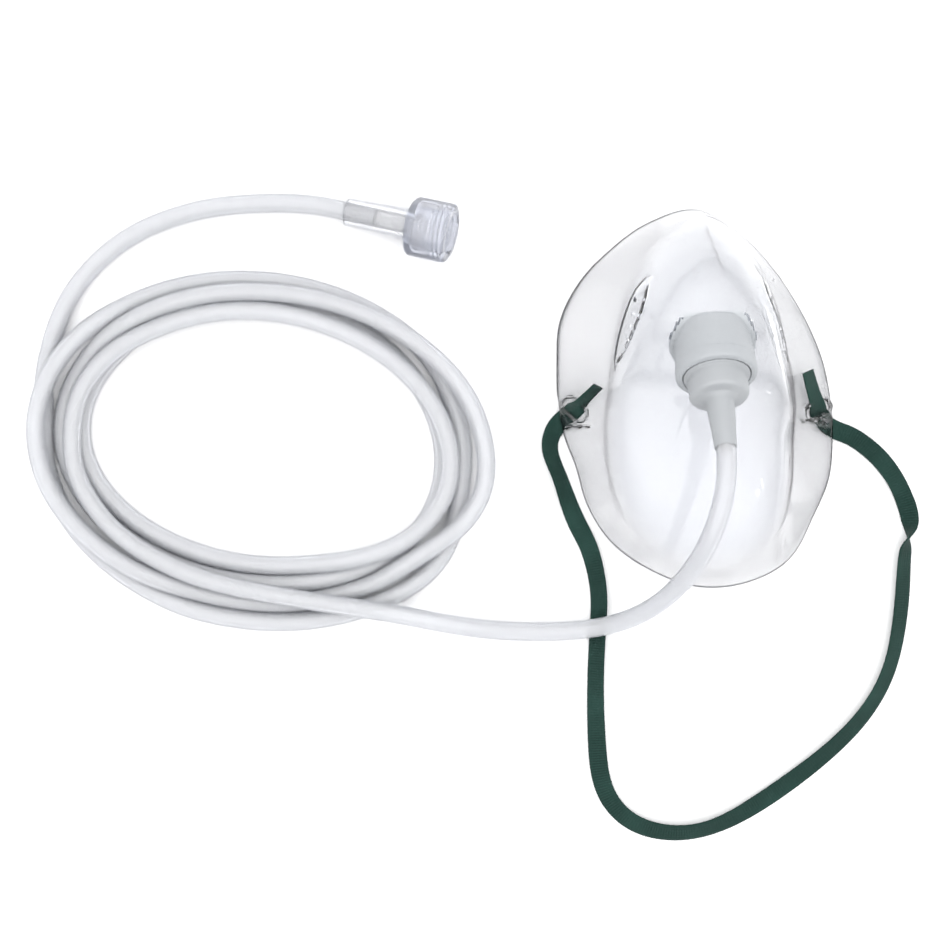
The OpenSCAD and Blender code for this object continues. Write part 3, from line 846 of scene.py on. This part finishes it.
def frosted(name, light, dark, transmission):
    """Matt moulded plastic with a fine grain."""
    made, tree, shader = material(name, light, roughness=0.42, transmission=transmission)
    tree.links.new(mixed(tree, noise(tree, 90, 3), light, dark), shader.inputs["Base Color"])
    tree.links.new(ranged(tree, noise(tree, 900, 3), 0.34, 0.52), shader.inputs["Roughness"])
    bumped(tree, shader, noise(tree, 2600, 3), 0.12, 0.0004)
    return made


STITCH_PITCH = 0.0009


def elastic():
    """Dark green knitted elastic: ribs along it, stitches across it, lighter where it wears."""
    made, tree, shader = material("elastic_look", (0.02, 0.09, 0.065), 0.8)
    place = tree.nodes.new("ShaderNodeTexCoord")
    split = tree.nodes.new("ShaderNodeSeparateXYZ")
    tree.links.new(place.outputs["UV"], split.inputs["Vector"])

    def math_node(operation, *values):
        node = tree.nodes.new("ShaderNodeMath")
        node.operation = operation
        for socket, value in zip(node.inputs, values):
            if isinstance(value, (int, float)):
                socket.default_value = value
            else:
                tree.links.new(value, socket)
        return node.outputs["Value"]

    ribs = math_node("SINE", math_node("MULTIPLY", split.outputs["Y"], 2 * math.pi * RIBS))
    shift = math_node("MULTIPLY", math_node("ABSOLUTE", ribs), 1.6)
    rows = math_node("MULTIPLY", split.outputs["X"], 2 * math.pi / STITCH_PITCH)
    stitch = math_node("SINE", math_node("ADD", rows, shift))
    knit = math_node("MULTIPLY_ADD", stitch, 0.5, 0.5)
    fuzz = noise(tree, 1500, 4)
    wear = noise(tree, 60, 3)
    height = math_node("ADD", math_node("MULTIPLY", knit, 0.7), math_node("MULTIPLY", fuzz, 0.5))
    base = mixed(tree, ranged(tree, knit, 0, 1, 0.1, 0.9), (0.003, 0.019, 0.015), (0.009, 0.036, 0.028))
    worn = mixed(tree, ranged(tree, wear, 0, 0.5, 0.45, 0.75), base, (0.018, 0.058, 0.047))
    tree.links.new(worn, shader.inputs["Base Color"])
    tree.links.new(ranged(tree, fuzz, 0.7, 0.95), shader.inputs["Roughness"])
    shader.inputs["Sheen Weight"].default_value = 0.12
    shader.inputs["Specular IOR Level"].default_value = 0.3
    shader.inputs["Sheen Roughness"].default_value = 0.4
    bumped(tree, shader, height, 0.6, 0.0003)
    return made


def floor_look():
    made, tree, shader = material("floor_look", (0.9, 0.9, 0.9), 0.7)
    cloudy = mixed(tree, noise(tree, 3, 2), (0.905, 0.905, 0.908), (0.895, 0.895, 0.898))
    tree.links.new(cloudy, shader.inputs["Base Color"])
    shader.inputs["Specular IOR Level"].default_value = 0.2
    return made


def dress(obj, look, body, node_names):
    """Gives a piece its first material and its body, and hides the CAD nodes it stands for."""
    if obj.data.materials:
        obj.data.materials[0] = look
    else:
        obj.data.materials.append(look)
    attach(obj, body)
    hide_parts(*node_names)


dress(shell, vinyl, "shell", ["mask_shell"])
collar_frost = frosted("collar_look", (0.49, 0.51, 0.53), (0.45, 0.47, 0.49), 0.25)
shell.data.materials[1] = collar_frost
adapter_frost = frosted("frosted_look", (0.405, 0.42, 0.435), (0.37, 0.385, 0.40), 0.15)
dress(adapter, adapter_frost, "adapter", ["port_adapter"])
dress(supply_tube, tube_vinyl, "shell", ["tube_mask_lead", "tube_coil", "tube_end_lead"])
dress(cuff, cuff_vinyl, "shell", ["end_cuff"])
# The cuff's bore looks like the gland, and its two ends are frosted
cuff.data.materials.append(gland_plastic)
cuff.data.materials.append(collar_frost)
give_look(cuff, 1, CUFF_MOUTH, CONNECTOR_AXIS, CUFF_BORE_R, (-1, CUFF_LENGTH + 1))
give_look(cuff, 2, CUFF_MOUTH, CONNECTOR_AXIS, CUFF_REACH, (-1, 0.3))
give_look(cuff, 2, CUFF_MOUTH, CONNECTOR_AXIS, CUFF_REACH, (CUFF_LENGTH - 0.3, CUFF_LENGTH + 1))
dress(gland, gland_plastic, "shell", ["gland_nipple"])
gland.data.materials.append(collar_frost)
give_look(gland, 1, CUFF_MOUTH, CONNECTOR_AXIS, CUFF_REACH, (11, 12.4))
dress(nut, nut_plastic, "nut", ["swivel_nut"])
dress(head_strap, elastic(), "shell", ["head_strap"])

# ---------------------------------------------------------------- studio
FLOOR_HALF, FLOOR_DROP = 6000, 0.3
CORNERS = ((-1, -1), (1, -1), (1, 1), (-1, 1))
floor_points = [[FLOOR_HALF * x, FLOOR_HALF * y, -FLOOR_DROP] for x, y in CORNERS]
floor = new_object("floor", floor_points, [[0, 1, 2, 3]])
floor.data.materials.append(floor_look())

world = bpy.data.worlds.new("studio")
scene.world = world
world.use_nodes = True
sky = world.node_tree
place = sky.nodes.new("ShaderNodeTexCoord")
split = sky.nodes.new("ShaderNodeSeparateXYZ")
ramp = sky.nodes.new("ShaderNodeValToRGB")
background = sky.nodes["Background"]
sky.links.new(place.outputs["Generated"], split.inputs["Vector"])
sky.links.new(split.outputs["Z"], ramp.inputs["Fac"])
sky.links.new(ramp.outputs["Color"], background.inputs["Color"])
# Pale at the horizon, dark above it and pale again overhead: the dark band draws the outlines
for stop, height, level in zip(ramp.color_ramp.elements, (0.0, 0.80), (0.5, 1)):
    stop.position = height
    stop.color = (level, level, level, 1)
for height, level in ((0.05, 0.5), (0.09, 0.03), (0.30, 0.30)):
    stop = ramp.color_ramp.elements.new(height)
    stop.color = (level, level, level * 1.03, 1)
background.inputs["Strength"].default_value = 2.35


LIGHT_AIM = Vector((-0.05, -0.03, 0))


def softbox(name, place, size, power):
    light = bpy.data.lights.new(name, "AREA")
    light.shape = "RECTANGLE"
    light.size, light.size_y = size
    light.energy = power
    obj = bpy.data.objects.new(name, light)
    obj.location = place
    obj.rotation_euler = (LIGHT_AIM - Vector(place)).to_track_quat("-Z", "Y").to_euler()
    bpy.context.collection.objects.link(obj)


softbox("key_light", (0.72, -0.62, 1.10), (0.30, 0.08), 0.7)
